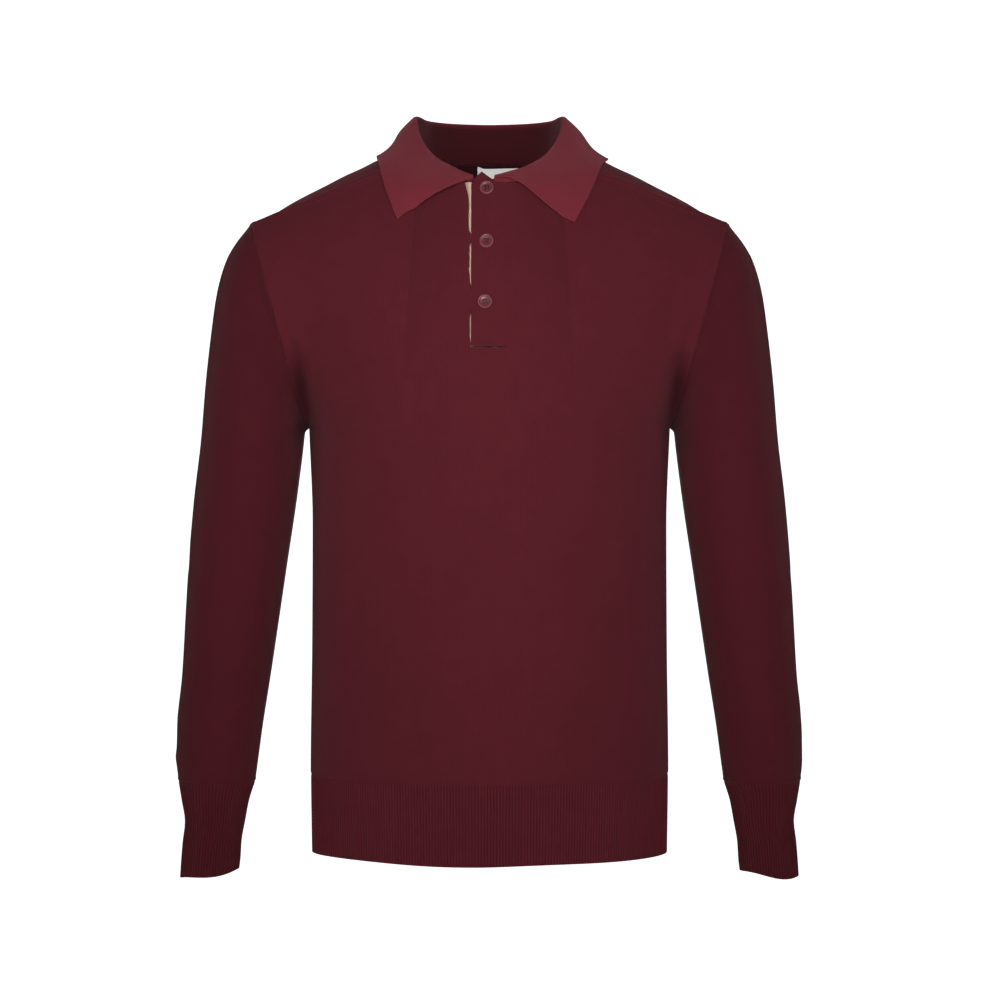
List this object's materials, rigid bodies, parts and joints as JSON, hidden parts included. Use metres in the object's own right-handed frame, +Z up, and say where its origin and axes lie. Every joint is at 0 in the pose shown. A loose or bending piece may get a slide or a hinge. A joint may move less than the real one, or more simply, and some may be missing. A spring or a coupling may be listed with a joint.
{
  "type": "knitted polo sweater",
  "caption": "Long-sleeved knitted polo sweater in its worn, filled form: open torso, sleeves and neck, turned-down collar, half placket with buttons, ribbed hem and cuffs.",
  "frame": {"origin": "middle of the garment at shoulder level, where the wearer's shoulders and neck base carry it", "axes": "+Z up along the wearer's spine, +X to the viewer's right when the front is looked at (the wearer's left), -Y out of the front"},
  "size_m": [0.621, 0.2466, 0.7577],
  "materials": {
    "body_knit": "fine plain knit, matte",
    "rib_knit": "ribbed knit, matte",
    "collar_knit": "close plain knit, slightly fuzzy",
    "underlap_cotton": "plain woven cotton, matte",
    "button_plastic": "polished",
    "label_satin": "satin weave, bare"
  },
  "bodies": {
    "root": {"front": "body_knit", "back": "body_knit", "rib_front": "rib_knit", "rib_back": "rib_knit", "sleeve_left": "body_knit", "sleeve_right": "body_knit", "cuff_left": "rib_knit", "cuff_right": "rib_knit", "collar": "collar_knit", "placket_overlap": "body_knit", "placket_underlap": "underlap_cotton", "button_1": "button_plastic", "button_2": "button_plastic", "button_3": "button_plastic", "neck_label": "label_satin"}
  },
  "joints": []
}
